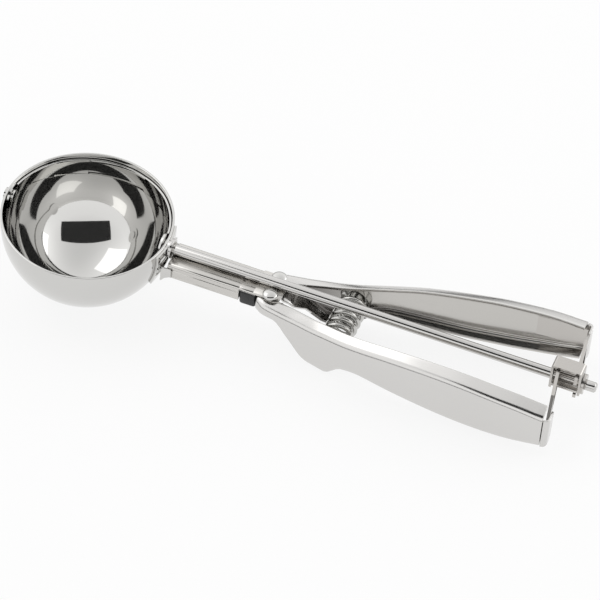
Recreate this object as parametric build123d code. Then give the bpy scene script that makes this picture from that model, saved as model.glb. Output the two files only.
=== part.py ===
from build123d import *
import math
import os

# Lever ice cream scoop (squeeze disher), millimetres.
# Origin: centre of the bowl's sphere, on the axle. +X runs along the axle to
# the rear, +Y is the right hand of the user, +Z points out of the bowl.

# --- bowl ---
bowl_radius = 33.0          # outside of the spherical cup
bowl_wall = 0.9
rim_height = 3.0            # straight wall above the sphere's equator
rim_round = 0.3

# --- axle rod, turning in the bowl and stem ---
rod_radius = 2.0
rod_end = 4.5               # free end of the rod behind its retaining ring
rod_tip_inside = 2.2        # how far the rod reaches into the bowl
running_gap = 0.05          # radial clearance of every turning fit
groove_depth = 0.5

# --- scraper inside the bowl ---
scraper_gap = 0.35          # between scraper and bowl
scraper_thickness = 0.7
scraper_width = 7.2
scraper_end_width = 4.6
scraper_hub_radius = 4.4
scraper_rest_angle = -5.5   # middle of the blade, below the rim on the +Y side
scraper_sweep = 145.0       # turn of the blade from rest to fully squeezed

# --- pivot rivet of the scraper at the front of the bowl ---
tip_rivet_radius = 1.5
tip_rivet_head_radius = 2.6
tip_rivet_head = 0.8

# --- flanged bush of the rod at the bowl ---
bush_wall = 0.8
bush_flange_radius = 3.9
bush_flange = 1.1

# --- saddle plate on the outside of the bowl ---
saddle_gap = 0.05
saddle_thickness = 1.0
saddle_half_width = 9.4
saddle_bottom = -15.0
saddle_top = 2.4
collar_length = 4.5
collar_wall = 0.7
saddle_rivet_radius = 0.7
saddle_rivet_head_radius = 1.0
saddle_rivet_head = 0.5
saddle_rivet_y = 8.3
saddle_rivet_z = -4.4

# --- stem, a channel of sheet steel open at the bottom ---
stem_sheet = 1.2
stem_half_width = 6.5
stem_bottom = -8.8
stem_bend = 2.2             # outside radius of the two bends
stem_gap = 0.3              # between the stem's top and the rod
tongue_corner = 4.0

# --- handles: mirrored pressed channels, open towards the rod ---
pivot_x = 76.5
pivot_y = 4.6
tongue_reach = 4.5          # the stem's top runs on past the pivots
handle_sheet = 1.2
handle_corner = 3.0
handle_length = 119.6
pivot_inset = 4.7           # from the handle's front end to its pivot
ear_radius = 3.7
ear_gap = 0.3
ear_inset = 0.15            # the ears are a little thinner than the flanges
handle_steps = 4            # sections drawn between two stations
handle_front = pivot_x - pivot_inset
handle_rear = handle_front + handle_length
# stations: place along the handle, outside of web y, top z, bottom z, flange width, rise of its edge
handle_course = [
    (handle_front, 7.8, -3.8, -10.3, 4.4, 0.0),
    (pivot_x - 1.5, 9.8, -3.8, -10.3, 5.4, 0.0),
    (pivot_x + 3.5, 10.9, -3.8, -10.3, 5.8, 0.0),
    (pivot_x + 10.5, 12.2, -4.1, -16.6, 5.6, 0.7),
    (pivot_x + 18.5, 13.9, -4.1, -23.2, 5.2, 1.2),
    (pivot_x + 26.5, 15.6, -3.6, -23.6, 5.0, 1.5),
    (pivot_x + 33.5, 17.3, -2.7, -17.4, 4.9, 1.7),
    (pivot_x + 41.5, 18.9, -1.2, -15.7, 4.9, 1.8),
    (pivot_x + 53.5, 20.9, 1.2, -16.2, 5.0, 1.9),
    (pivot_x + 69.5, 23.0, 3.4, -16.6, 5.3, 1.9),
    (pivot_x + 85.5, 25.0, 4.8, -15.9, 5.7, 1.9),
    (pivot_x + 101.5, 26.5, 5.1, -14.0, 6.0, 1.9),
    (handle_rear, 27.1, 4.3, -11.2, 6.2, 1.9),
]

# --- black pivot block inside the stem's rear end ---
block_tongue = 7.7          # length inside the stem
block_head = 6.6            # length of its full-width head behind the stem's walls
block_gap = 0.1
heel_gap = 5.2              # from the head to the pivots
heel_radius = 2.6           # round each pivot rivet

# --- pivot rivets ---
pivot_pin_radius = 1.6
pivot_head_radius = 2.6
pivot_head = 1.1
head_gap = 0.15
washer_radius = 3.0
washer_thickness = 0.5

# --- return spring between the handles, under the rod ---
spring_x = pivot_x + 28.0
spring_z = -10.8
spring_mean_radius = 5.1
spring_wire_radius = 0.75
spring_turns = 6.5
seat_face = 12.8            # where the spring's end coil bears, from the axle
seat_radius = 3.5
seat_flange_radius = 5.7
seat_length = 3.2

# --- rack arms and pinion ---
tooth_module = 0.9
pinion_teeth = 8
rack_backlash = 0.2
left_rack_stretch = 1.028
rack_end = 2.4              # end of the toothed prong past the axle
arm_sheet = 1.2
arm_root_x = handle_rear + 1.4      # where both arms leave the rear ends of the handles
left_arm_cross = arm_root_x - 4.2   # where the left arm crosses the axle
right_arm_cross = arm_root_x + 3.2
arm_root_y = 25.0
arm_root_high = 1.6
arm_root_low = -8.2
foot_length = 20.0
foot_sheet = 1.0
foot_gap = 0.25
arm_tip = 6.2               # end of the plain prong past the axle
window_gap = 0.35
arm_rim = 1.7               # metal above and below the window
pinion_overhang = 0.6

# --- cage over the pinion, with the rod through both legs ---
cage_sheet = 0.9
cage_gap = 0.35
cage_half_width = 2.9
cage_leg = 4.2

# --- retaining ring at the rear end of the rod ---
clip_radius = 3.9
clip_thickness = 0.9

inner_radius = bowl_radius - bowl_wall
pitch_radius = tooth_module * pinion_teeth / 2
addendum = 0.8 * tooth_module
dedendum = 1.05 * tooth_module
tooth_pitch = math.pi * tooth_module
pinion_outer = pitch_radius + addendum
arm_travel = math.radians(scraper_sweep) * pitch_radius
window_front = arm_travel + pinion_outer + window_gap + 0.4
window_clear = pinion_outer + window_gap
rack_root = pitch_radius + dedendum
cage_top = rack_root + arm_rim + cage_gap
pinion_front = left_arm_cross - arm_sheet / 2 - pinion_overhang
pinion_rear = right_arm_cross + arm_sheet / 2 + pinion_overhang
cage_front = pinion_front - 0.15 - cage_sheet
cage_rear = pinion_rear + 0.15 + cage_sheet
clip_front = cage_rear + 0.15
rod_rear = clip_front + clip_thickness + rod_end
stem_top = -rod_radius - stem_gap
stem_front = bowl_radius + saddle_gap + saddle_thickness + bush_flange + 0.45
block_step = pivot_x - heel_gap
block_shoulder = block_step - block_head
block_front = block_shoulder - block_tongue
stem_rear = block_shoulder - 0.2
tongue_rear = pivot_x + tongue_reach
flange_top = handle_course[0][2]
flange_bottom = handle_course[0][3]


def smooth_course(course, steps):
    """Stations between the given ones on soft curves that never overshoot them."""
    slopes = []
    for index, here in enumerate(course):
        before = course[max(index - 1, 0)]
        after = course[min(index + 1, len(course) - 1)]
        row = []
        for column in range(1, 6):
            rises = [(q[column] - p[column]) / (q[0] - p[0]) for p, q in ((before, here), (here, after)) if q[0] > p[0]]
            level = len(rises) == 2 and rises[0] * rises[1] <= 0
            row.append(0 if level else len(rises) / sum(1 / (r or 1e-9) for r in rises))
        slopes.append(row)
    stations = [course[0]]
    for a, b, rise_a, rise_b in zip(course, course[1:], slopes, slopes[1:]):
        span = b[0] - a[0]
        for step in range(1, steps + 1):
            t = step / steps
            row = [a[0] + span * t]
            for column in range(1, 6):
                value = (2 * t**3 - 3 * t**2 + 1) * a[column] + (3 * t**2 - 2 * t**3) * b[column]
                value += span * ((t**3 - 2 * t**2 + t) * rise_a[column - 1] + (t**3 - t**2) * rise_b[column - 1])
                row.append(value)
            stations.append(tuple(row))
    return stations


handle_stations = smooth_course(handle_course, handle_steps)


def rod_along_x(radius, start, end):
    """A round bar on the axle between two places along X."""
    bar = Cylinder(radius, end - start, align=(Align.CENTER, Align.CENTER, Align.MIN))
    return Pos(start, 0, 0) * Rot(0, 90, 0) * bar


def ring_along_x(outer, inner, start, end):
    return rod_along_x(outer, start, end) - rod_along_x(inner, start - 1, end + 1)


def block_between(low, high):
    """A box from its lowest to its highest corner."""
    size = [b - a for a, b in zip(low, high)]
    return Pos(*low) * Box(*size, align=(Align.MIN, Align.MIN, Align.MIN))


def upright(x, y, low, high, radius):
    return Pos(x, y, low) * Cylinder(radius, high - low, align=(Align.CENTER, Align.CENTER, Align.MIN))


def mirrored(solid):
    """The left-hand piece of a pair, from the right-hand one."""
    return mirror(solid, about=Plane.XZ)


def half_ball(radius, height):
    """Lower half of a ball with a straight collar of the same radius on top."""
    outline = Polyline((0, height), (radius, height), (radius, 0))
    outline += ThreePointArc((radius, 0), (radius * math.sqrt(0.5), -radius * math.sqrt(0.5)), (0, -radius))
    outline += Line((0, -radius), (0, height))
    return revolve(make_face(Plane.XZ * outline), Axis.Z)


def bowl():
    cup = half_ball(bowl_radius, rim_height)
    cup -= half_ball(inner_radius, rim_height + 1)
    rim = cup.edges().filter_by(GeomType.CIRCLE).group_by(Axis.Z)[-1]
    cup = fillet(rim, rim_round)
    cup -= rod_along_x(rod_radius + bush_wall + running_gap, 0, bowl_radius + 5)
    cup -= rod_along_x(tip_rivet_radius + running_gap, -bowl_radius - 5, 0)
    for side in (-1, 1):
        cup -= saddle_rivet_axis(side, saddle_rivet_radius + running_gap, -3, 6)
    return cup


def saddle_rivet_axis(side, radius, start, end):
    """A round bar square to the bowl at a saddle rivet, from the outside of the bowl."""
    reach = math.sqrt(bowl_radius**2 - saddle_rivet_y**2 - saddle_rivet_z**2)
    out = Vector(reach, side * saddle_rivet_y, saddle_rivet_z).normalized()
    plane = Plane(origin=out * (bowl_radius + start), z_dir=out)
    return plane * Cylinder(radius, end - start, align=(Align.CENTER, Align.CENTER, Align.MIN))


def stem_outline(inset):
    """The stem's section, closed at the bottom, drawn in from its outside by inset."""
    half = stem_half_width - inset
    low = stem_bottom - (2.0 if inset > 0 else 0.0)
    section = Rectangle(2 * half, stem_top - inset - low, align=(Align.CENTER, Align.MIN))
    corners = section.vertices().group_by(Axis.Y)[-1]
    return Pos(0, low) * fillet(corners, stem_bend - inset)


def along_stem(section, start, end):
    plane = Plane(origin=(start, 0, 0), x_dir=(0, 1, 0), z_dir=(1, 0, 0))
    return extrude(plane * section, end - start)


def saddle():
    """Plate that hugs the bowl, with a short flared collar for the stem."""
    inner = bowl_radius + saddle_gap
    outer = inner + saddle_thickness
    shell = half_ball(outer, saddle_top) - half_ball(inner, saddle_top + 1)
    window = fillet(
        (Rectangle(2 * saddle_half_width, saddle_top - saddle_bottom, align=(Align.CENTER, Align.MIN))
         ).vertices().group_by(Axis.Y)[0], 4.0)
    plate = shell & along_stem(Pos(0, saddle_bottom) * window, 10, outer + 5)
    flare = loft([
        collar_section(bowl_radius - 3.0, stem_half_width + collar_wall, saddle_bottom + 2.4),
        collar_section(stem_front + 1.0, stem_half_width + collar_wall, stem_bottom - collar_wall),
        collar_section(stem_front + collar_length, stem_half_width + collar_wall, stem_bottom - collar_wall),
    ], ruled=True)
    room = along_stem(stem_outline(-0.05), stem_front - 0.1, stem_front + collar_length + 1)
    flare -= room
    flare -= loft([
        collar_section(bowl_radius - 4.0, stem_half_width - 0.6, saddle_bottom + 3.8),
        collar_section(stem_front, stem_half_width - 0.6, stem_bottom + 1.2),
    ], ruled=True)
    flare -= block_between((20, -20, stem_top), (60, 20, 20))
    flare -= half_ball(inner, 5)
    seat = plate + flare
    seat -= rod_along_x(rod_radius + bush_wall + running_gap, 20, 60)
    for side in (-1, 1):
        seat -= saddle_rivet_axis(side, saddle_rivet_radius + running_gap, -3, 6)
    return seat


def collar_section(x, half, low):
    section = Rectangle(2 * half, stem_top + 1 - low, align=(Align.CENTER, Align.MIN))
    corners = section.vertices().group_by(Axis.Y)[0]
    section = fillet(corners, 2.6)
    return Plane(origin=(x, 0, 0), x_dir=(0, 1, 0), z_dir=(1, 0, 0)) * Pos(0, low) * section


def saddle_rivets():
    rivets = []
    for side in (-1, 1):
        inside = -bowl_wall
        outside = saddle_gap + saddle_thickness
        rivet = saddle_rivet_axis(side, saddle_rivet_radius, inside, outside + saddle_rivet_head)
        rivet += saddle_rivet_axis(side, saddle_rivet_head_radius, outside + 0.12, outside + 0.12 + saddle_rivet_head)
        rivets.append(rivet & Sphere(bowl_radius + 8))
    return Compound(children=[r if isinstance(r, Solid) else r.solids()[0] for r in rivets])


def bush():
    shank = rod_radius + bush_wall
    front = inner_radius - 0.3
    flange_back = bowl_radius + saddle_gap + saddle_thickness + 0.15
    body = rod_along_x(shank, front, flange_back + bush_flange)
    body += rod_along_x(bush_flange_radius, flange_back, flange_back + bush_flange)
    body -= rod_along_x(rod_radius + running_gap, 0, 60)
    return body


def stem():
    channel = along_stem(stem_outline(0) - stem_outline(stem_sheet), stem_front, stem_rear)
    low = stem_top - stem_sheet
    tongue = block_between((stem_rear - 1, -stem_half_width, low), (tongue_rear, stem_half_width, stem_top))
    tongue -= block_between((stem_rear - 2, stem_half_width - stem_bend, low - 1), (stem_rear, 20, 0))
    tongue -= block_between((stem_rear - 2, -20, low - 1), (stem_rear, stem_bend - stem_half_width, 0))
    tongue = fillet(tongue.edges().filter_by(Axis.Z).group_by(Axis.X)[-1], tongue_corner)
    body = channel + tongue
    for side in (-1, 1):
        body -= upright(pivot_x, side * pivot_y, low - 1, stem_top + 1, pivot_pin_radius + running_gap)
    return body


def pivot_block():
    """Moulded block in the stem's rear end that fills it and spaces the handles' ears."""
    top = stem_top - stem_sheet - block_gap
    half = stem_half_width - stem_sheet - block_gap
    inside = block_between((block_front, -half, stem_bottom), (block_shoulder + 1, half, top))
    inside = chamfer(inside.edges().filter_by(Axis.X).group_by(Axis.Z)[-1], stem_bend - stem_sheet)
    head = block_between((block_shoulder, -stem_half_width, stem_bottom), (block_step, stem_half_width, top))
    head = chamfer(head.edges().filter_by(Axis.Z), 1.0)
    heel_top = flange_top - handle_sheet - ear_gap - washer_thickness - 0.1
    body = inside + head + block_between((block_step - 1, -pivot_y, stem_bottom), (tongue_rear, pivot_y, heel_top))
    for side in (-1, 1):
        body += upright(pivot_x, side * pivot_y, stem_bottom, heel_top, heel_radius)
    for side in (-1, 1):
        body -= upright(pivot_x, side * pivot_y, stem_bottom - 1, 1, pivot_pin_radius + running_gap)
    return body


def channel_section(station, inset):
    """The handle's section at one station, drawn in from its outside by inset."""
    x, web, top, bottom, flange, rise = station
    slope = rise / flange
    side = web - inset
    edge = web - flange - 3 * inset
    drop = top - inset * math.sqrt(1 + slope**2)
    section = make_face(Polyline((edge, bottom + inset), (side, bottom + inset), (side, drop + slope * inset),
                                 (edge, drop + slope * (web - edge)), close=True))
    return fillet(section.vertices().group_by(Axis.X)[-1], handle_corner - inset)


def across(x, section):
    plane = Plane(origin=(x, 0, 0), x_dir=(0, 1, 0), z_dir=(1, 0, 0))
    return plane * section


def channel_core(inset):
    """The room inside the handle, straight from station to station."""
    return loft([across(station[0], channel_section(station, inset)) for station in handle_stations], ruled=True)


def ear(low):
    """Round ear of a flange, a little thinner than the sheet, around the pivot."""
    low = low + ear_inset
    high = low + handle_sheet - 2 * ear_inset
    disc = upright(pivot_x, pivot_y, low, high, ear_radius)
    return disc + block_between((pivot_x - ear_radius, pivot_y, low), (pivot_x + ear_radius, pivot_y + 2.4, high))


def handle():
    """Right handle: a pressed channel with two round ears at the pivot."""
    walls = [across(station[0], channel_section(station, 0) - channel_section(station, handle_sheet))
             for station in handle_stations]
    shell = loft(walls, ruled=True)
    shell += ear(flange_top - handle_sheet)
    shell += ear(flange_bottom)
    return shell - upright(pivot_x, pivot_y, -30, 10, pivot_pin_radius + running_gap)


def station_value(x, column):
    """A station column read off along the handle, straight between stations."""
    for a, b in zip(handle_stations, handle_stations[1:]):
        if a[0] <= x <= b[0]:
            share = (x - a[0]) / (b[0] - a[0])
            return a[column] + share * (b[column] - a[column])


def web_at(x):
    return station_value(x, 1)


def pivot_rivet():
    """Right pivot rivet: heads on the stem's tongue and under the handle's lower ear."""
    top = stem_top + 0.05
    bottom = flange_bottom - head_gap
    pin = upright(pivot_x, pivot_y, bottom - pivot_head, top + pivot_head, pivot_pin_radius)
    upper = upright(pivot_x, pivot_y, top, top + pivot_head, pivot_head_radius)
    lower = upright(pivot_x, pivot_y, bottom - pivot_head, bottom, pivot_head_radius)
    upper = fillet(upper.edges().group_by(Axis.Z)[-1], 0.6)
    lower = fillet(lower.edges().group_by(Axis.Z)[0], 0.6)
    return pin + upper + lower


def pivot_washer():
    top = flange_top - handle_sheet - ear_gap / 2
    ring = upright(pivot_x, pivot_y, top - washer_thickness, top, washer_radius)
    return ring - upright(pivot_x, pivot_y, -20, 5, pivot_pin_radius + running_gap)


def spring_seat():
    """Seat welded to the web of the right handle, with a stud inside the spring's end."""
    stud = along_y(seat_radius, seat_face - seat_length, seat_face + 0.5)
    stud = chamfer(stud.edges().group_by(Axis.Y)[0], 0.8)
    stud += along_y(seat_flange_radius, seat_face, web_at(spring_x) + 3)
    return Pos(spring_x, 0, spring_z) * stud & channel_core(handle_sheet + 0.12)


def along_y(radius, start, end):
    bar = Cylinder(radius, end - start, align=(Align.CENTER, Align.CENTER, Align.MIN))
    return Pos(0, start, 0) * Rot(-90, 0, 0) * bar


def return_spring():
    """Open coil spring lying across the scoop, from seat flange to seat flange."""
    end = seat_face - spring_wire_radius - 0.1
    length = 2 * end
    path = Helix(length / spring_turns, length, spring_mean_radius)
    start = path @ 0
    wire = Plane(origin=start, z_dir=path % 0) * Circle(spring_wire_radius)
    coil = sweep(wire, path=path)
    return Pos(spring_x, -end, spring_z) * Rot(-90, 0, 0) * coil


def scraper():
    """Blade that follows the inside of the bowl, with a round hub at each pivot."""
    outer = inner_radius - scraper_gap
    shell = Sphere(outer) - Sphere(outer - scraper_thickness)
    half = scraper_width / 2
    half_end = scraper_end_width / 2
    shoulder = outer * 0.72
    blade = Polyline((-outer, half_end), (-shoulder, half), (shoulder, half), (outer, half_end),
                     (outer, -half_end), (shoulder, -half), (-shoulder, -half), (-outer, -half_end), close=True)
    strip = extrude(Plane(origin=(0, 0, 0), x_dir=(1, 0, 0), z_dir=(0, 1, 0)) * make_face(blade), outer + 2)
    band = shell & strip
    for side in (-1, 1):
        reach = (outer - 4, outer + 2)
        start, end = sorted(side * r for r in reach)
        band += shell & rod_along_x(scraper_hub_radius, start, end)
    band -= rod_along_x(tip_rivet_radius + running_gap, -outer - 4, -outer + 6)
    band -= block_between((outer - 8, -1.5, -1.0), (outer + 4, 1.5, 1.0))
    return Rot(scraper_rest_angle, 0, 0) * band


def axle_rod():
    """Rod with a flattened front tip in the scraper's hub and a ring groove at the rear."""
    tip = inner_radius - rod_tip_inside
    step = inner_radius - scraper_gap + 0.1
    rod = rod_along_x(rod_radius, step, rod_rear)
    rod += Rot(scraper_rest_angle, 0, 0) * block_between((tip, -1.45, -0.95), (step + 1, 1.45, 0.95))
    rod -= ring_along_x(rod_radius + 1, rod_radius - groove_depth, clip_front, clip_front + clip_thickness + 0.1)
    return chamfer(rod.edges().group_by(Axis.X)[-1], 0.4)


def scraper_rivet():
    """Rivet through the front of the bowl on which the scraper's far end turns."""
    shell_inside = -(inner_radius - scraper_gap - scraper_thickness)
    pin = rod_along_x(tip_rivet_radius, -bowl_radius - tip_rivet_head, shell_inside + 0.3 + tip_rivet_head)
    outside = rod_along_x(tip_rivet_head_radius, -bowl_radius - tip_rivet_head, -bowl_radius + 0.02)
    inside = rod_along_x(tip_rivet_head_radius, shell_inside + 0.3, shell_inside + 0.3 + tip_rivet_head)
    outside -= half_ball(bowl_radius + 0.02, rim_height + 1)
    inside = fillet(inside.edges().group_by(Axis.X)[-1], 0.3)
    return pin + outside + inside


def rack_tooth():
    """One straight-sided rack tooth pointing down, its pitch line at y = 0."""
    slope = math.tan(math.radians(20))
    half = tooth_pitch / 4
    return [(-half - dedendum * slope, dedendum), (-half + addendum * slope, -addendum),
            (half - addendum * slope, -addendum), (half + dedendum * slope, dedendum)]


def pinion():
    """Pinion on the rod, its teeth formed by rolling the rack past the blank."""
    space = None
    cutter = make_face(Polyline(*[(x, y + pitch_radius) for x, y in deeper_tooth()], close=True))
    for step in range(-7, 8):
        turn = 5.0 * step
        shift = math.radians(turn) * pitch_radius
        placed = Rot(0, 0, turn) * Pos(shift, 0) * cutter
        space = placed if space is None else space + placed
    blank = Circle(pinion_outer)
    for tooth in range(pinion_teeth):
        blank -= Rot(0, 0, tooth * 360 / pinion_teeth) * space
    plane = Plane(origin=(pinion_front, 0, 0), x_dir=(0, 1, 0), z_dir=(1, 0, 0))
    body = extrude(plane * blank, pinion_rear - pinion_front)
    return body - rod_along_x(rod_radius + 0.02, pinion_front - 1, pinion_rear + 1)


def deeper_tooth():
    """The rack tooth as a cutter: wider by the backlash and a little longer."""
    slope = math.tan(math.radians(20))
    half = tooth_pitch / 4 + rack_backlash / 2
    deep = addendum + 0.12
    high = dedendum + 1.0
    return [(-half - high * slope, high), (-half + deep * slope, -deep),
            (half - deep * slope, -deep), (half + high * slope, high)]


def arm_face(side, stretch):
    """The flat arm seen along the axle, root on the left, ending in an open fork.

    The fork's toothed prong is the upper one for the left arm (side 1) and the
    lower one for the right arm (side -1), so that both turn the pinion the same
    way. The teeth stand a little wider on the arm that leans further.
    """
    high = rack_root if side > 0 else window_clear
    low = window_clear if side > 0 else rack_root
    front = -window_front
    top = high + arm_rim
    bottom = low + arm_rim
    face = make_face(Polyline((-arm_root_y, arm_root_high), (front - 1.5, top), (arm_tip - 1.5, top),
                              (arm_tip, top - 1.5), (arm_tip, 1.5 - bottom), (arm_tip - 1.5, -bottom),
                              (front - 1.5, -bottom), (-arm_root_y, arm_root_low), close=True))
    past = arm_tip + 1
    face -= make_face(Polyline((front, high), (past, high), (past, -low), (front, -low), close=True))
    face -= make_face(Polyline((rack_end, 0), (past, 0), (past, 20 * side), (rack_end, 20 * side), close=True))
    first = -math.floor((window_front - tooth_pitch) / tooth_pitch)
    for tooth in range(first, 1):
        place = tooth * tooth_pitch * stretch
        face += make_face(Polyline(*[(x + place, side * (y + pitch_radius)) for x, y in rack_tooth()], close=True))
    return face


def left_rack_arm():
    arm = rack_arm_at(left_arm_cross, arm_face(1, left_rack_stretch))
    return arm + foot()


def right_rack_arm():
    arm = rack_arm_at(right_arm_cross, arm_face(-1, 1.0))
    return mirrored(arm + foot())


def rack_arm_at(cross, face):
    """The arm's plate, leaning from its root to the place where it crosses the axle."""
    lean = math.atan2(arm_root_x - cross, arm_root_y)
    plane = Plane(origin=(cross, 0, 0), x_dir=(-math.sin(lean), math.cos(lean), 0),
                  z_dir=(math.cos(lean), math.sin(lean), 0))
    return extrude(plane * face, arm_sheet / 2, both=True)


def foot():
    """Plate along the inside of the left web, bent into the arm at its rear end."""
    edge = arm_root_x + arm_sheet / 2
    front = arm_root_x - foot_length - 12
    course = [(station[0], station[1] - handle_sheet - foot_gap) for station in handle_stations if station[0] > front]
    course[-1] = (edge, course[-1][1])
    outer = Spline(*[(x, -y) for x, y in course])
    inner = Spline(*[(x, -(y - foot_sheet)) for x, y in course])
    plan = make_face(outer + Line(outer @ 1, inner @ 1) + inner + Line(inner @ 0, outer @ 0))
    slab = extrude(Pos(0, 0, -40) * plan, 80)
    return slab & block_between((arm_root_x - foot_length, -60, arm_root_low), (edge, 0, arm_root_high))


def rack_cage():
    """Bent strip over the pinion; the rod runs through a hole in each leg."""
    top = cage_top + cage_sheet
    strip = block_between((cage_front, -cage_half_width, -cage_leg), (cage_rear, cage_half_width, top))
    strip = fillet(strip.edges().filter_by(Axis.Y).group_by(Axis.Z)[-1], 1.2)
    hollow = block_between((cage_front + cage_sheet, -20, -20), (cage_rear - cage_sheet, 20, cage_top))
    strip -= hollow
    return strip - rod_along_x(rod_radius + running_gap, cage_front - 1, cage_rear + 1)


def retaining_ring():
    ring = ring_along_x(clip_radius, rod_radius - groove_depth + 0.02, clip_front + 0.05,
                        clip_front + 0.05 + clip_thickness)
    mouth = block_between((clip_front - 1, -1.2, -clip_radius - 1), (clip_front + 3, 1.2, 0))
    return ring - mouth


def save(name, solid):
    """One STEP file for each piece."""
    export_step(solid, os.path.join("parts", name + ".step"))


os.makedirs("parts", exist_ok=True)
right_handle = handle()
save("bowl", bowl())
save("bowl_saddle", saddle())
save("saddle_rivets", saddle_rivets())
save("axle_bush", bush())
save("stem_channel", stem())
save("pivot_block", pivot_block())
save("scraper_blade", scraper())
save("scraper_rivet", scraper_rivet())
save("axle_rod", axle_rod())
save("right_handle", right_handle)
save("left_handle", mirrored(right_handle))
save("right_pivot_rivet", pivot_rivet())
save("left_pivot_rivet", mirrored(pivot_rivet()))
save("right_pivot_washer", pivot_washer())
save("left_pivot_washer", mirrored(pivot_washer()))
save("right_spring_seat", spring_seat())
save("left_spring_seat", mirrored(spring_seat()))
save("return_spring", return_spring())
save("left_rack_arm", left_rack_arm())
save("right_rack_arm", right_rack_arm())
save("pinion", pinion())
save("rack_cage", rack_cage())
save("retaining_ring", retaining_ring())
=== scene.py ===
import math
import bpy
from mathutils import Matrix, Vector


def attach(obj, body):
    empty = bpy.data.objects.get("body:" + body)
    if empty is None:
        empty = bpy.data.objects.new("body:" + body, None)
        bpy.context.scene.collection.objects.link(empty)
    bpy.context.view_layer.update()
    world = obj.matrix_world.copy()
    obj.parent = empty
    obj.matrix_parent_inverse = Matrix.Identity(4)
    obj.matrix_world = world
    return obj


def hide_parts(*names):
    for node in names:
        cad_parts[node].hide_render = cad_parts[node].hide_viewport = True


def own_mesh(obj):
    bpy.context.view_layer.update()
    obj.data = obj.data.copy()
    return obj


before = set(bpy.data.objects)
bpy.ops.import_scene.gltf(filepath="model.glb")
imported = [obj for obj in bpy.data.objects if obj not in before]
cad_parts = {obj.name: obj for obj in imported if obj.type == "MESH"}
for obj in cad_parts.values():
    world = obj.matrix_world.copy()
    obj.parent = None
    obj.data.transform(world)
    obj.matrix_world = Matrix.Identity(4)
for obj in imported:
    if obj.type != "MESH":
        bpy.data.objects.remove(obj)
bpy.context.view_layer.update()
bpy.ops.object.select_all(action="DESELECT")


# The bowl is one deep-drawn cup of stainless sheet, 66 mm across, with a short
# straight wall above the half sphere and a softly rounded rim. It is polished
# to a mirror inside and out.
class Shade:
    """One socket of a material, so that sums on it can be written as sums."""

    def __init__(self, tree, socket):
        self.tree = tree
        self.socket = socket

    def sum(self, operation, first, second):
        return make(self.tree, "ShaderNodeMath", {"operation": operation}, {0: first, 1: second})[0]

    def __add__(self, other):
        return self.sum("ADD", self, other)

    __radd__ = __add__

    def __sub__(self, other):
        return self.sum("SUBTRACT", self, other)

    def __rsub__(self, other):
        return self.sum("SUBTRACT", other, self)

    def __mul__(self, other):
        return self.sum("MULTIPLY", self, other)

    __rmul__ = __mul__


def make(tree, kind, settings, inputs):
    """A node with its settings and the values or links of its sockets; gives its outputs."""
    node = tree.nodes.new(kind)
    for name, value in settings.items():
        if name == "stops":
            ramp = node.color_ramp
            while len(ramp.elements) < len(value):
                ramp.elements.new(0.5)
            for stop, (place, level) in zip(ramp.elements, value):
                stop.position = place
                stop.color = (level, level, level, 1)
        else:
            setattr(node, name, value)
    for name, value in inputs.items():
        if isinstance(value, Shade):
            tree.links.new(value.socket, node.inputs[name])
        else:
            node.inputs[name].default_value = value
    return [Shade(tree, socket) for socket in node.outputs]


def steel(name, tint, roughness, spread, grain_scale, grain_stretch, grain_depth):
    """Stainless steel: a faint polishing grain along X and small changes of gloss."""
    material = bpy.data.materials.new(name)
    material.use_nodes = True
    tree = material.node_tree
    shader = tree.nodes["Principled BSDF"]
    place = make(tree, "ShaderNodeTexCoord", {}, {})[3]
    cloud = make(tree, "ShaderNodeTexNoise", {}, {"Vector": place, "Scale": 45.0, "Detail": 3.0})[0]
    along = make(tree, "ShaderNodeMapping", {}, {"Vector": place, "Scale": grain_stretch})[0]
    grain = make(tree, "ShaderNodeTexNoise", {}, {"Vector": along, "Scale": grain_scale, "Detail": 4.0})[0]
    wipe = make(tree, "ShaderNodeMix", {"data_type": "RGBA"}, {
        0: cloud, 6: (*[c * 0.97 for c in tint], 1), 7: (*tint, 1)})[2]
    gloss = roughness + (cloud - 0.5) * spread + (grain - 0.5) * spread
    bump = make(tree, "ShaderNodeBump", {}, {"Height": grain, "Distance": grain_depth, "Strength": 0.5})[0]
    shader.inputs["Metallic"].default_value = 1.0
    tree.links.new(wipe.socket, shader.inputs["Base Color"])
    tree.links.new(gloss.socket, shader.inputs["Roughness"])
    tree.links.new(bump.socket, shader.inputs["Normal"])
    return material


def dress(piece, material):
    piece.data.materials.clear()
    piece.data.materials.append(material)


def add_modifier(piece, kind, **settings):
    """A modifier, applied at once."""
    modifier = piece.modifiers.new(kind.title(), kind)
    for name, value in settings.items():
        setattr(modifier, name, value)
    bpy.context.view_layer.objects.active = piece
    bpy.ops.object.modifier_apply(modifier=modifier.name)


def soften(piece, width, segments, angle=60):
    """Broken edges, wherever two faces meet at more than an angle."""
    add_modifier(piece, "BEVEL", width=width, segments=segments, limit_method="ANGLE",
                 angle_limit=math.radians(angle))


def settle(piece, angle=40):
    """Smooth shading up to an angle, and the piece's place put into its mesh."""
    bpy.ops.object.select_all(action="DESELECT")
    piece.select_set(True)
    bpy.context.view_layer.objects.active = piece
    bpy.ops.object.transform_apply(location=True, rotation=True, scale=True)
    bpy.ops.object.shade_smooth_by_angle(angle=math.radians(angle))
    bpy.ops.object.select_all(action="DESELECT")


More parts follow.
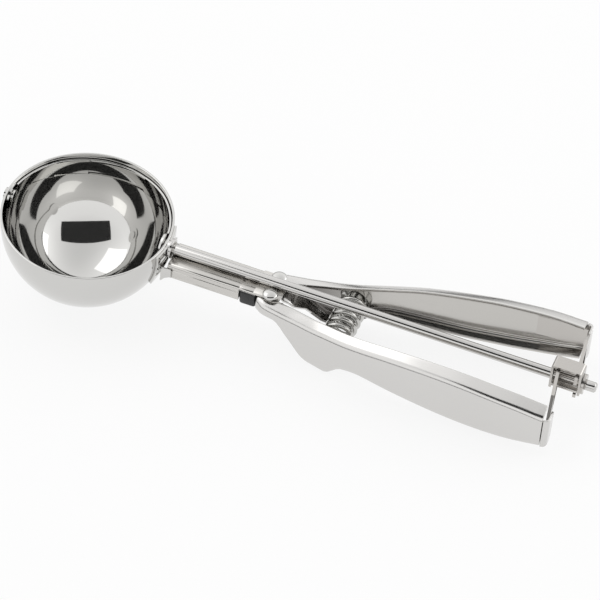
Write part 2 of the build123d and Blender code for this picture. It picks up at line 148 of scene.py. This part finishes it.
mirror_steel = steel("mirror steel", (0.63, 0.625, 0.61), 0.05, 0.03, 1400.0, (0.02, 0.02, 1.0),
                     0.000003)
bowl_radius = 0.033
bowl_wall = 0.0009
bowl_collar = 0.003
bowl_seam = -0.00001
bpy.ops.mesh.primitive_uv_sphere_add(segments=128, ring_count=64, radius=bowl_radius)
bowl = bpy.context.object
bowl.name = "bowl_shell"
bpy.ops.object.mode_set(mode="EDIT")
bpy.ops.mesh.bisect(plane_co=(0, 0, bowl_seam), plane_no=(0, 0, 1), clear_outer=True, use_fill=False)
bpy.ops.mesh.extrude_region_move(TRANSFORM_OT_translate={"value": (0, 0, bowl_collar)})
bpy.ops.mesh.select_all(action="SELECT")
bpy.ops.mesh.normals_make_consistent(inside=False)
bpy.ops.object.mode_set(mode="OBJECT")
add_modifier(bowl, "SOLIDIFY", thickness=bowl_wall, offset=-1, use_even_offset=True)
soften(bowl, 0.00028, 3)
settle(bowl, 50)
dress(bowl, mirror_steel)
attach(bowl, "frame")
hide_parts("bowl")


# The scraper is a narrow spring-steel band that follows the inside of the bowl.
# It ends in a round hub at each pole: one turns on the front rivet and the other
# is driven by the rod. At rest it lies just under the rim on the far side.
def cut(piece, planes):
    """Cuts a mesh off at each plane, given as a place on it and the way out."""
    bpy.context.view_layer.objects.active = piece
    bpy.ops.object.mode_set(mode="EDIT")
    for place, outward in planes:
        bpy.ops.mesh.select_all(action="SELECT")
        bpy.ops.mesh.bisect(plane_co=place, plane_no=outward, clear_outer=True, use_fill=False)
    bpy.ops.object.mode_set(mode="OBJECT")


def weld(pieces, main):
    """Joins the pieces to the main one, which keeps its name."""
    bpy.ops.object.select_all(action="DESELECT")
    for piece in (*pieces, main):
        piece.select_set(True)
    bpy.context.view_layer.objects.active = main
    bpy.ops.object.join()


blade_radius = 0.03175
blade_sheet = 0.0007
blade_half = 0.0036
blade_end_half = 0.0023
blade_taper = (blade_half - blade_end_half) / (blade_radius * 0.28)
hub_radius = 0.0044
hub_lift = 0.00003
blade_tilt = math.radians(-5.5)
bpy.ops.mesh.primitive_uv_sphere_add(segments=160, ring_count=80, radius=blade_radius,
                                     rotation=(0, math.radians(90), 0))
blade = bpy.context.object
blade.name = "scraper_band"
bpy.ops.object.transform_apply(rotation=True)
planes = [((0, 0, 0), (0, -1, 0)), ((0, 0, blade_half), (0, 0, 1)), ((0, 0, -blade_half), (0, 0, -1))]
for end in (-1, 1):
    for edge in (-1, 1):
        planes.append(((end * blade_radius, 0, edge * blade_end_half), (end * blade_taper, 0, edge)))
cut(blade, planes)
add_modifier(blade, "SOLIDIFY", thickness=blade_sheet, offset=-1)
soften(blade, 0.00015, 2)
hub_cap = math.sqrt(blade_radius**2 - hub_radius**2)
hubs = []
for end in (-1, 1):
    bpy.ops.mesh.primitive_uv_sphere_add(segments=48, ring_count=160, radius=blade_radius + hub_lift,
                                         rotation=(0, math.radians(90), 0))
    hub = bpy.context.object
    bpy.ops.object.transform_apply(rotation=True)
    cut(hub, [((end * hub_cap, 0, 0), (-end, 0, 0))])
    add_modifier(hub, "SOLIDIFY", thickness=blade_sheet + 2 * hub_lift, offset=-1)
    hubs.append(hub)
weld(hubs, blade)
blade.rotation_euler = (blade_tilt, 0, 0)
settle(blade, 50)
dress(blade, mirror_steel)
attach(blade, "scraper")
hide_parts("scraper_blade")


# The stem is a channel of bent stainless sheet, open underneath, that lies under
# the rod. Two fine lines are rolled into each wall. Its top runs on to the rear as
# a lip and a tongue, through which the two pivot rivets pass.
def pulled_sheet(name, outlines):
    """A sheet laid as a grid, with each of its rows pulled to one outline."""
    bpy.ops.object.select_all(action="DESELECT")
    bpy.ops.mesh.primitive_grid_add(x_subdivisions=len(outlines) - 1, size=2,
                                    y_subdivisions=len(outlines[0]) - 1)
    sheet = bpy.context.object
    sheet.name = name
    for vertex in sheet.data.vertices:
        row = outlines[round((vertex.co.x + 1) / 2 * (len(outlines) - 1))]
        vertex.co = row[round((vertex.co.y + 1) / 2 * (len(row) - 1))]
    sheet.data.update()
    return sheet


def face_out(sheet, face, outward):
    """Turns the sheet over if the given face of it does not look outward."""
    if sheet.data.polygons[face].normal.dot(outward) < 0:
        sheet.data.flip_normals()


def bend(centre, radius, start, stop, steps):
    """Points of a bend in the YZ plane, given as angles in degrees."""
    x, y, z = centre
    turns = [math.radians(start + (stop - start) * step / steps) for step in range(steps + 1)]
    return [(x, y + radius * math.cos(turn), z + radius * math.sin(turn)) for turn in turns]


stem_front = 0.0356
stem_rear = 0.0645
stem_half = 0.0065
stem_top = -0.0023
stem_bottom = -0.0088
stem_bend = 0.0014
stem_sheet = 0.0012
stem_lip = 0.0712
stem_overlap = 0.001


def stem_length(name, stations, walls, turn, inset):
    """A length of the stem: two walls, given as heights and steps in, and the bends up to the top."""
    half = stem_half - inset
    top = stem_top - inset
    rows = []
    for x in stations:
        row = [(x, step - half, height) for height, step in walls]
        row += bend((x, stem_bend - half, top - stem_bend), stem_bend, turn, 90, 8)
        row += bend((x, half - stem_bend, top - stem_bend), stem_bend, 90, 180 - turn, 8)
        row += [(x, half - step, height) for height, step in walls[::-1]]
        rows.append([Vector(point) for point in row])
    sheet = pulled_sheet(name, rows)
    face_out(sheet, 0, Vector((0, -1, 0)))
    add_modifier(sheet, "SOLIDIFY", thickness=stem_sheet - inset, offset=-1)
    return sheet


def rolled_line(low, slope, width, depth):
    """A groove along a wall, as heights and steps in."""
    return [(low, 0.0), (low + slope, depth), (low + slope + width, depth), (low + 2 * slope + width, 0.0)]


wall_course = [(stem_bottom, 0.0), *rolled_line(stem_bottom + 0.0007, 0.0001, 0.00015, 0.0001),
               *rolled_line(-0.0051, 0.0002, 0.00045, 0.00028)]
stem = stem_length("stem", (stem_front, stem_rear), wall_course, 180, 0.0)
lip_turn = 165
lip_inset = 0.00004
lip_edge = 0.0001
lip_low = stem_top - stem_bend + stem_bend * math.sin(math.radians(lip_turn)) - lip_edge
lip = stem_length("lip", (stem_rear - stem_overlap, stem_lip), [(lip_low, 0.0)], lip_turn, lip_inset)
tongue_front = stem_lip - stem_overlap
tongue_rear = 0.081
tongue_half = stem_half - 0.0003
tongue_corner = 0.004
bpy.ops.mesh.primitive_cube_add(size=1,
                                location=((tongue_front + tongue_rear) / 2, 0, stem_top - stem_sheet / 2),
                                scale=(tongue_rear - tongue_front, 2 * tongue_half, stem_sheet))
tongue = bpy.context.object
bpy.ops.object.transform_apply(location=True, scale=True)
weights = tongue.data.attributes.new("bevel_weight_edge", "FLOAT", "EDGE")
for edge in tongue.data.edges:
    a, b = (tongue.data.vertices[i].co for i in edge.vertices)
    weights.data[edge.index].value = 1.0 if abs(a.z - b.z) > stem_sheet / 2 and a.x > stem_lip else 0.0
add_modifier(tongue, "BEVEL", width=tongue_corner, segments=10, limit_method="WEIGHT")
weld([tongue, lip], stem)
soften(stem, 0.00018, 2, 50)
settle(stem, 35)
dress(stem, steel("polished steel", (0.62, 0.605, 0.58), 0.17, 0.06, 260.0, (0.06, 1.0, 1.0), 0.000006))
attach(stem, "frame")
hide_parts("stem_channel")


# Each handle is one pressing of stainless sheet, a channel that opens towards
# the rod: narrow at the pivot, deep at the finger rest, then a long flat grip.
# Two round ears hold the pivot rivet. The edges are broken and polished, and the insides carry painted shade.
pivot_x = 0.0765
pivot_y = 0.0046
handle_sheet = 0.0012
handle_corner = 0.003
ear_radius = 0.0037
ear_gap = 0.00015
# place along, web, top, bottom, width of the flanges and rise of the upper one
grip_course = [
    (0.0718, 0.0078, -0.0038, -0.0103, 0.0044, 0.0),
    (0.0750, 0.0098, -0.0038, -0.0103, 0.0054, 0.0),
    (0.0800, 0.0109, -0.0038, -0.0103, 0.0058, 0.0),
    (0.0870, 0.0122, -0.0041, -0.0166, 0.0056, 0.0007),
    (0.0950, 0.0139, -0.0041, -0.0232, 0.0052, 0.0012),
    (0.1030, 0.0156, -0.0036, -0.0236, 0.0050, 0.0015),
    (0.1100, 0.0173, -0.0027, -0.0174, 0.0049, 0.0017),
    (0.1180, 0.0189, -0.0012, -0.0157, 0.0049, 0.0018),
    (0.1300, 0.0209, 0.0012, -0.0162, 0.0050, 0.0019),
    (0.1460, 0.0230, 0.0034, -0.0166, 0.0053, 0.0019),
    (0.1620, 0.0250, 0.0048, -0.0159, 0.0057, 0.0019),
    (0.1780, 0.0265, 0.0051, -0.0140, 0.0060, 0.0019),
    (0.1914, 0.0271, 0.0043, -0.0112, 0.0062, 0.0019),
]


def between(course, steps):
    """The course with soft curves between its stations that never overshoot them."""
    slopes = []
    for index, here in enumerate(course):
        before = course[max(index - 1, 0)]
        after = course[min(index + 1, len(course) - 1)]
        row = []
        for column in range(1, 6):
            rises = [(q[column] - p[column]) / (q[0] - p[0])
                     for p, q in ((before, here), (here, after)) if q[0] > p[0]]
            level = len(rises) == 2 and rises[0] * rises[1] <= 0
            row.append(0 if level else len(rises) / sum(1 / (r or 1e-9) for r in rises))
        slopes.append(row)
    stations = [course[0]]
    for a, b, rise_a, rise_b in zip(course, course[1:], slopes, slopes[1:]):
        span = b[0] - a[0]
        for step in range(1, steps + 1):
            t = step / steps
            row = [a[0] + span * t]
            for column in range(1, 6):
                value = (2 * t**3 - 3 * t**2 + 1) * a[column] + (3 * t**2 - 2 * t**3) * b[column]
                value += span * ((t**3 - 2 * t**2 + t) * rise_a[column - 1] + (t**3 - t**2) * rise_b[column - 1])
                row.append(value)
            stations.append(row)
    return stations


ear_course = [(0.0718, 0.0), (0.0750, 0.0012), (0.0800, 0.0046), (0.0835, 0.0042), (0.0870, 0.0006),
              (0.0905, 0.0)]


def ear_widening(x):
    """How much wider the lower flange is near the pivot, where it runs out into the ear."""
    for (start, before), (end, after) in zip(ear_course, ear_course[1:]):
        if start <= x <= end:
            return before + (after - before) * (x - start) / (end - start)
    return 0.0


def grip_section(station, side):
    """The outside of the channel at one station, from the upper edge round to the lower one."""
    x, web, top, bottom, flange, rise = station
    lower = flange + ear_widening(x)
    corner = handle_corner
    near_edge = 0.8
    corner_rise = rise * 0.45
    lean = math.degrees(math.atan2(rise, flange))
    points = [(x, web - flange, top + rise), (x, web - flange * near_edge, top + rise * near_edge)]
    points += bend((x, web - corner, top - corner + corner_rise), corner, 90 - lean, 0, 6)
    points += [(x, web, (top + bottom) / 2)]
    points += bend((x, web - corner, bottom + corner), corner, 0, -90, 6)
    points += [(x, web - lower * near_edge, bottom), (x, web - lower, bottom)]
    return [Vector((x, side * y, z)) for x, y, z in points]


def paint_pressing_shade(material):
    """Painted shade on the inside of a pressing: its colour is darkened towards the pivot and in the deep corner,
    where the channel lies in shade.
    """
    tree = material.node_tree
    shader = tree.nodes["Principled BSDF"]
    polished = Shade(tree, shader.inputs["Base Color"].links[0].from_socket)
    place = make(tree, "ShaderNodeTexCoord", {}, {})[3]
    along, _, height = make(tree, "ShaderNodeSeparateXYZ", {}, {"Vector": place})

    def fade(value, start, stop):
        return make(tree, "ShaderNodeMapRange", {"interpolation_type": "SMOOTHSTEP"},
                    {0: value, 1: start, 2: stop, 3: 1.0, 4: 0.0})[0]

    # Painted shade: the colour darkens towards the pivot and in the deep corner of the finger rest, where the
    # inside of the channel is in shade.
    front = fade(along, 0.082, 0.118) * 0.75
    corner = fade(height, -0.0146, -0.0106) * fade(along, 0.118, 0.160) * 0.85
    # The dark colour of the painted shade.
    deep = (0.085, 0.078, 0.075, 1)
    shaded_colour = make(tree, "ShaderNodeMix", {"data_type": "RGBA"}, {
        0: front.sum("MAXIMUM", front, corner), 6: polished, 7: deep})[2]
    tree.links.new(shaded_colour.socket, shader.inputs["Base Color"])
    return material


# The inside of each handle is a darker copy of its steel, with painted shade on it.
shaded_inner_steel = paint_pressing_shade(steel("pressing inside painted shade", (0.58, 0.565, 0.54), 0.17, 0.06, 320.0,
                                    (0.05, 1.0, 1.0), 0.000010))
grip_steel = steel("grip steel", (0.665, 0.655, 0.64), 0.16, 0.05, 320.0, (0.05, 1.0, 1.0), 0.000008)
inward_slope = 0.35
inside_reach = 0.0065
stations = between(grip_course, 4)
ear_upper = stations[0][2] - handle_sheet + ear_gap
ear_lower = stations[0][3] + ear_gap
ear_height = handle_sheet - 2 * ear_gap
for side, hand in ((1, "right"), (-1, "left")):
    grip = pulled_sheet(hand + "_grip", [grip_section(station, side) for station in stations])
    web_face = max(grip.data.polygons, key=lambda face: abs(face.center.y)).index
    face_out(grip, web_face, Vector((0, side, 0)))
    add_modifier(grip, "SOLIDIFY", thickness=handle_sheet, offset=-1, use_even_offset=True)
    soften(grip, 0.0003, 3)
    ears = []
    for low in (ear_upper, ear_lower):
        bpy.ops.mesh.primitive_cylinder_add(vertices=64, radius=ear_radius, depth=ear_height,
                                            location=(pivot_x, side * pivot_y, low + ear_height / 2))
        ear = bpy.context.object
        soften(ear, 0.0002, 2)
        ears.append(ear)
    weld(ears, grip)
    settle(grip)
    dress(grip, grip_steel)
    grip.data.materials.append(shaded_inner_steel)
    # Faces that look in towards the rod take the darker steel with painted shade.
    for face in grip.data.polygons:
        inside = face.normal.y * side < -inward_slope and abs(face.center.y) > inside_reach
        face.material_index = 1 if inside else 0
    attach(grip, hand + "_handle")
    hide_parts(hand + "_handle")


# The saddle is a curved plate of polished steel that hugs the bowl's back, held by
# two small round rivets. A short collar on it takes the front end of the stem.
saddle_inner = 0.03305
saddle_sheet = 0.001
saddle_half = 0.0094
saddle_low = -0.015
saddle_high = 0.0024
saddle_corner = 0.004
saddle_front = 0.02
bpy.ops.mesh.primitive_uv_sphere_add(segments=128, ring_count=96, radius=saddle_inner + saddle_sheet,
                                     rotation=(0, math.radians(90), 0))
saddle = bpy.context.object
saddle.name = "saddle_plate"
bpy.ops.object.transform_apply(rotation=True)
planes = [((saddle_front, 0, 0), (-1, 0, 0)), ((0, 0, saddle_high), (0, 0, 1)), ((0, 0, saddle_low), (0, 0, -1))]
for side in (-1, 1):
    planes.append(((0, side * saddle_half, 0), (0, side, 0)))
    corner = Vector((0, side * (saddle_half - saddle_corner), saddle_low + saddle_corner))
    for turn in (15, 30, 45, 60, 75):
        outward = Vector((0, side * math.cos(math.radians(turn)), -math.sin(math.radians(turn))))
        planes.append((corner + outward * saddle_corner, outward))
cut(saddle, planes)
add_modifier(saddle, "SOLIDIFY", thickness=saddle_sheet, offset=-1)
soften(saddle, 0.0002, 2)
collar_sheet = 0.0007
collar_half = stem_half + collar_sheet
collar_bend = stem_bend + collar_sheet
collar_top = -0.0042
collar_bottom = stem_bottom - collar_sheet
rows = []
for x, low in ((0.0331, -0.0128), (0.0345, -0.0108), (0.0366, collar_bottom), (0.0373, collar_bottom)):
    row = [(x, -collar_half, collar_top)]
    row += bend((x, collar_bend - collar_half, low + collar_bend), collar_bend, 180, 270, 8)
    row += bend((x, collar_half - collar_bend, low + collar_bend), collar_bend, 270, 360, 8)
    row += [(x, collar_half, collar_top)]
    rows.append([Vector(point) for point in row])
collar = pulled_sheet("collar", rows)
face_out(collar, 0, Vector((0, -1, 0)))
add_modifier(collar, "SOLIDIFY", thickness=collar_sheet, offset=-1, use_even_offset=True)
soften(collar, 0.00015, 2)
weld([collar], saddle)
settle(saddle)
dress(saddle, mirror_steel)
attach(saddle, "frame")
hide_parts("bowl_saddle")
for node in ("saddle_rivets", "scraper_rivet"):
    dress(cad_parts[node], mirror_steel)


# The rod runs from the scraper's hub through a flanged bush in the bowl's wall,
# over the stem and between the handles, to the pinion. It is ground bar with a
# broken rear end and a turned groove for the retaining ring.
def turned(name, profile, steps=48, edge=0.0):
    """A round piece along Z, turned from its half profile of places along and radii."""
    bpy.ops.object.select_all(action="DESELECT")
    bpy.ops.mesh.primitive_plane_add(size=0.0001)
    piece = bpy.context.object
    piece.name = name
    bpy.ops.object.mode_set(mode="EDIT")
    bpy.ops.mesh.merge(type="CENTER")
    bpy.ops.mesh.select_all(action="SELECT")
    bpy.ops.transform.translate(value=(profile[0][1], 0, profile[0][0]))
    for (place, radius), (next_place, next_radius) in zip(profile, profile[1:]):
        move = (next_radius - radius, 0, next_place - place)
        bpy.ops.mesh.extrude_vertices_move(TRANSFORM_OT_translate={"value": move})
    bpy.ops.object.mode_set(mode="OBJECT")
    add_modifier(piece, "SCREW", steps=steps, render_steps=steps, angle=math.radians(360),
                 use_merge_vertices=True, merge_threshold=0.000001)
    bpy.ops.object.mode_set(mode="EDIT")
    bpy.ops.mesh.select_all(action="SELECT")
    bpy.ops.mesh.remove_doubles(threshold=0.000002)
    bpy.ops.mesh.normals_make_consistent(inside=False)
    bpy.ops.object.mode_set(mode="OBJECT")
    if edge:
        soften(piece, edge, 3, 35)
    return piece


rod_radius = 0.002
rod_front = 0.0315
rod_rear = 0.2038
rod_chamfer = 0.0006
groove_front = 0.19845
groove_rear = 0.19935
groove_radius = 0.0015
rod = turned("axle_bar", [
    (rod_front, 0.0), (rod_front, rod_radius), (groove_front, rod_radius), (groove_front, groove_radius),
    (groove_rear, groove_radius), (groove_rear, rod_radius), (rod_rear - rod_chamfer, rod_radius),
    (rod_rear, rod_radius - rod_chamfer), (rod_rear, 0.0)], 96, 0.00012)
rod.rotation_euler = (0, math.radians(90), 0)
settle(rod, 25)
rod_steel = steel("ground bar", (0.62, 0.61, 0.595), 0.10, 0.04, 500.0, (0.03, 1.0, 1.0), 0.000004)
dress(rod, rod_steel)
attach(rod, "scraper")
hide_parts("axle_rod")
bush_front = 0.0318
bush_rear = 0.0353
bush_bore = 0.00212
bush_radius = 0.0028
flange_front = 0.0342
flange_radius = 0.0039
bush = turned("rod_bush", [
    (bush_front, bush_bore), (bush_front, bush_radius), (flange_front, bush_radius),
    (flange_front, flange_radius), (bush_rear, flange_radius), (bush_rear, bush_bore),
    (bush_front, bush_bore)], 64, 0.00015)
bush.rotation_euler = (0, math.radians(90), 0)
settle(bush, 25)
dress(bush, rod_steel)
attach(bush, "frame")
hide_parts("axle_bush")


# The black nylon block fills the rear end of the stem and spaces the handles.
# Each handle turns on a domed steel rivet, headed above and below, with a black
# nylon washer under its upper ear.
nylon = bpy.data.materials.new("black nylon")
nylon.use_nodes = True
tree = nylon.node_tree
shader = tree.nodes["Principled BSDF"]
place = make(tree, "ShaderNodeTexCoord", {}, {})[3]
skin = make(tree, "ShaderNodeTexNoise", {}, {"Vector": place, "Scale": 900.0, "Detail": 3.0})[0]
cloud = make(tree, "ShaderNodeTexNoise", {}, {"Vector": place, "Scale": 120.0, "Detail": 2.0})[0]
shade = make(tree, "ShaderNodeMix", {"data_type": "RGBA"}, {
    0: cloud, 6: (0.008, 0.008, 0.009, 1), 7: (0.02, 0.02, 0.021, 1)})[2]
tree.links.new(shade.socket, shader.inputs["Base Color"])
tree.links.new((skin * 0.12 + 0.20).socket, shader.inputs["Roughness"])
bump = make(tree, "ShaderNodeBump", {}, {"Height": skin, "Distance": 0.00002, "Strength": 0.3})[0]
tree.links.new(bump.socket, shader.inputs["Normal"])
for node in ("left_pivot_washer", "right_pivot_washer"):
    dress(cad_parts[node], nylon)
block_parts = []
neck = ((0.057, -0.0052, stem_bottom), (0.0657, 0.0052, -0.0036), 0.0006)
head = ((0.0647, -0.00635, -0.0106), (0.0713, 0.00635, -0.0037), 0.0011)
tail = ((0.0708, -0.0046, stem_bottom), (0.0785, 0.0046, -0.0060), 0.0004)
for low, high, rounding in (neck, head, tail):
    low, high = Vector(low), Vector(high)
    bpy.ops.mesh.primitive_cube_add(size=1, location=(low + high) / 2, scale=high - low)
    lump = bpy.context.object
    bpy.ops.object.transform_apply(location=True, scale=True)
    soften(lump, rounding, 4)
    block_parts.append(lump)
heel_height = 0.0028
for side in (-1, 1):
    bpy.ops.mesh.primitive_cylinder_add(vertices=48, radius=0.0026, depth=heel_height,
                                        location=(pivot_x, side * pivot_y, stem_bottom + heel_height / 2))
    heel = bpy.context.object
    soften(heel, 0.0003, 2)
    block_parts.append(heel)
block = block_parts[0]
weld(block_parts[1:], block)
block.name = "pivot_lump"
settle(block)
dress(block, nylon)
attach(block, "frame")
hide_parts("pivot_block")


def dome(base, height, radius):
    """Half profile of a round head, from its foot to its top."""
    turns = [math.radians(90 * step / 8) for step in range(9)]
    return [(base + height * math.sin(turn), radius * math.cos(turn)) for turn in turns]


rivet_pin = 0.0016
rivet_head = 0.003
rivet_upper = -0.00225
rivet_lower = -0.01045
rivet_rise = 0.0015
rivet_brim = 0.0003
shank = [(rivet_lower, rivet_head), (rivet_lower, rivet_pin), (rivet_upper, rivet_pin), (rivet_upper, rivet_head)]
upper = dome(rivet_upper + rivet_brim, rivet_rise - rivet_brim, rivet_head)
lower = dome(rivet_lower - rivet_brim, rivet_brim - rivet_rise, rivet_head)
for side, hand in ((1, "right"), (-1, "left")):
    rivet = turned(hand + "_rivet", [*lower[::-1], *shank, *upper])
    rivet.location = (pivot_x, side * pivot_y, 0)
    settle(rivet, 50)
    dress(rivet, mirror_steel)
    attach(rivet, "frame")
    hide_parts(hand + "_pivot_rivet")


# The return spring is an open coil of round steel wire that lies across the tool
# under the rod. Its ends sit round studs on two flanged seats inside the handles,
# and it pushes the handles apart.
spring_x = 0.1045
spring_z = -0.0108
spring_radius = 0.0051
wire_radius = 0.00095
spring_end = 0.0119
spring_turns = 6.5
bpy.ops.mesh.primitive_circle_add(vertices=16, radius=wire_radius, fill_type="NOTHING",
                                  location=(spring_radius, 0, 0), rotation=(math.radians(90), 0, 0))
spring = bpy.context.object
spring.name = "coil_spring"
bpy.ops.object.transform_apply(location=True, rotation=True)
add_modifier(spring, "SCREW", steps=260, render_steps=260, angle=math.radians(360 * spring_turns),
             screw_offset=2 * spring_end)
bpy.ops.object.mode_set(mode="EDIT")
bpy.ops.mesh.select_all(action="DESELECT")
bpy.ops.mesh.select_non_manifold()
bpy.ops.mesh.edge_face_add()
bpy.ops.mesh.select_all(action="SELECT")
bpy.ops.mesh.normals_make_consistent(inside=False)
bpy.ops.object.mode_set(mode="OBJECT")
spring.rotation_euler = (math.radians(-90), 0, 0)
spring.location = (spring_x, -spring_end, spring_z)
settle(spring, 50)
spring_steel = steel("spring wire", (0.58, 0.575, 0.555), 0.14, 0.06, 900.0, (1.0, 1.0, 1.0), 0.000006)
dress(spring, spring_steel)
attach(spring, "frame")
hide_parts("return_spring")
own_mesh(spring)
for node in ("left_spring_seat", "right_spring_seat"):
    dress(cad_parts[node], spring_steel)


# The rack arms are flat steel blanks welded inside the handles' rear ends. Each
# ends in an open fork with rack teeth on one prong, and the two turn the pinion
# on the rod between them. A bent cage over the pinion keeps the arms in mesh, and
# a ring in the rod's groove holds the cage. Each arm meets its handle in a bend.
blank_steel = steel("stamped blank", (0.545, 0.525, 0.50), 0.22, 0.08, 420.0, (1.0, 0.2, 1.0), 0.00001)
for node in ("left_rack_arm", "right_rack_arm", "pinion", "rack_cage", "retaining_ring"):
    dress(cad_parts[node], blank_steel)
bend_low = -0.0106
bend_high = 0.0036
bend_margin = 0.0008
bend_sheet = 0.0009
bend_straight = 0.0225
bend_narrowing = 0.35
heights = [bend_low, bend_low + bend_margin, (bend_low + bend_high) / 2, bend_high - bend_margin, bend_high]
turns = [math.radians(80 - 10 * step) for step in range(9)]
bend_course = [(0.1917, 0.0266), (0.1924, 0.0264),
               *[(0.1921 + 0.0018 * math.cos(turn), 0.0245 + 0.0019 * math.sin(turn)) for turn in turns],
               (0.1939, bend_straight), (0.1936, 0.0195)]
for side, hand in ((1, "right"), (-1, "left")):
    rows = []
    for x, y in bend_course:
        shrink = max(0.0, bend_straight - y) * bend_narrowing
        rows.append([Vector((x, side * y, z + (shrink if z < 0 else -shrink))) for z in heights])
    wrap = pulled_sheet(hand + "_arm_bend", rows)
    face_out(wrap, 0, Vector((0, side, 0)))
    add_modifier(wrap, "SOLIDIFY", thickness=bend_sheet, offset=-1, use_even_offset=True)
    soften(wrap, 0.00025, 3)
    settle(wrap)
    dress(wrap, grip_steel)
    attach(wrap, hand + "_handle")


# The tool stands on its bowl and on the finger rests of its two handles. So the
# table top, plain white paper, leans a little against the rod.
floor_lean = math.radians(-5.34)
floor_gap = 0.00005
down = Vector((math.sin(-floor_lean), 0, -math.cos(floor_lean)))
bpy.ops.mesh.primitive_plane_add(size=6.0, location=down * (bowl_radius + floor_gap),
                                 rotation=(0, floor_lean, 0))
table = bpy.context.object
table.name = "table_top"
paper = bpy.data.materials.new("white paper")
paper.use_nodes = True
tree = paper.node_tree
tree.nodes.clear()
rays = make(tree, "ShaderNodeLightPath", {}, {})
seen = rays[0] + rays[3]
paper_glow = 0.84
matt = make(tree, "ShaderNodeBsdfDiffuse", {}, {"Color": (0.92, 0.92, 0.92, 1)})[0]
white = make(tree, "ShaderNodeEmission", {}, {"Color": (1, 1, 1, 1), "Strength": 1.0})[0]
blend = make(tree, "ShaderNodeMixShader", {}, {0: seen * paper_glow, 1: matt, 2: white})[0]
make(tree, "ShaderNodeOutputMaterial", {}, {"Surface": blend})
dress(table, paper)


# The studio is a white tent. Its light swells softly towards two large lamps, and
# a dark gap is left low down between the tent and the table.
world = bpy.data.worlds.new("studio")
bpy.context.scene.world = world
world.use_nodes = True
tree = world.node_tree
tree.nodes.clear()
rays = make(tree, "ShaderNodeLightPath", {}, {})
looked = make(tree, "ShaderNodeTexCoord", {}, {})[0]
height = make(tree, "ShaderNodeSeparateXYZ", {}, {"Vector": looked})[2]
tent = make(tree, "ShaderNodeValToRGB", {"stops": [
    (0.0, 0.6), (0.492, 0.6), (0.497, 0.10), (0.53, 0.12), (0.56, 0.85), (0.67, 1.15), (0.80, 1.1), (0.88, 0.98),
    (1.0, 0.82)]}, {0: height * 0.5 + 0.5})[0]
left_lamp = Vector((-0.95, 0.2, 1.25))
right_lamp = Vector((1.25, 0.85, 0.75))
swell_focus = 9.0
swell_strength = 0.35
swell = 0
for lamp_place in (left_lamp, right_lamp):
    towards = make(tree, "ShaderNodeVectorMath", {"operation": "DOT_PRODUCT"}, {
        0: looked, 1: lamp_place.normalized()})[1]
    towards = towards.sum("MAXIMUM", towards, 0.0)
    swell = swell + towards.sum("POWER", towards, swell_focus) * swell_strength
tent_light = make(tree, "ShaderNodeBackground", {}, {"Color": tent, "Strength": swell + 1.0})[0]
tent_seen = make(tree, "ShaderNodeBackground", {}, {"Color": (1, 1, 1, 1), "Strength": 1.0})[0]
sky = make(tree, "ShaderNodeMixShader", {}, {0: rays[0], 1: tent_light, 2: tent_seen})[0]
make(tree, "ShaderNodeOutputWorld", {}, {"Surface": sky})


def softbox(name, place, width, height, power):
    """A flat studio lamp that faces the bowl."""
    bpy.ops.object.light_add(type="AREA", location=place)
    lamp = bpy.context.object
    lamp.name = name
    lamp.data.shape = "RECTANGLE"
    lamp.data.size = width
    lamp.data.size_y = height
    lamp.data.energy = power
    lamp.rotation_euler = (-place).to_track_quat("-Z", "Y").to_euler()


softbox("left_softbox", left_lamp, 1.0, 0.8, 1.5)
softbox("right_softbox", right_lamp, 0.95, 0.7, 1.9)


# A plain black felt card stands above the camera. It gives the polished steel its
# dark reflections.
card_reach = 1.9
card_azimuth = math.radians(-64)
card_height = math.radians(63)
card_place = card_reach * Vector((math.cos(card_azimuth) * math.cos(card_height),
                                  math.sin(card_azimuth) * math.cos(card_height), math.sin(card_height)))
bpy.ops.mesh.primitive_plane_add(size=1, location=card_place,
                                 rotation=(-card_place).to_track_quat("Z", "Y").to_euler())
screen = bpy.context.object
screen.name = "dark_screen"
screen.scale = (2.6, 1.05, 1)
bpy.ops.object.transform_apply(location=True, rotation=True, scale=True)
felt = bpy.data.materials.new("black felt")
felt.use_nodes = True
shader = felt.node_tree.nodes["Principled BSDF"]
shader.inputs["Base Color"].default_value = (0.045, 0.045, 0.045, 1)
shader.inputs["Roughness"].default_value = 1.0
shader.inputs["Specular IOR Level"].default_value = 0.0
dress(screen, felt)


# The camera looks down on the scoop from the user's left, through a long lens from
# 1.5 metres. The bowl's centre falls on one pixel of the square frame.
aim_azimuth = math.radians(17.546)
aim_height = math.radians(47.533)
aim_roll = math.radians(5.139)
lens_pixels = 3960.0
frame_size = 600
bowl_pixel = (87.412, 220.355)
reach = 1.5
forward = Vector((-math.sin(aim_azimuth) * math.cos(aim_height),
                  math.cos(aim_azimuth) * math.cos(aim_height), -math.sin(aim_height)))
level = Vector((math.cos(aim_azimuth), math.sin(aim_azimuth), 0))
lift = level.cross(forward)
right = math.cos(aim_roll) * level + math.sin(aim_roll) * lift
above = -math.sin(aim_roll) * level + math.cos(aim_roll) * lift
sight = forward + right * ((bowl_pixel[0] - frame_size / 2) / lens_pixels)
sight -= above * ((bowl_pixel[1] - frame_size / 2) / lens_pixels)
bpy.ops.object.camera_add()
camera = bpy.context.object
camera.data.sensor_width = 36
camera.data.lens = lens_pixels / frame_size * camera.data.sensor_width
camera.data.clip_end = 20
turn = Matrix((right, above, -forward)).transposed().to_4x4()
camera.matrix_world = Matrix.Translation(-reach * sight.normalized()) @ turn
bpy.context.scene.camera = camera
bpy.context.scene.view_settings.view_transform = "Standard"
bpy.ops.object.select_all(action="DESELECT")
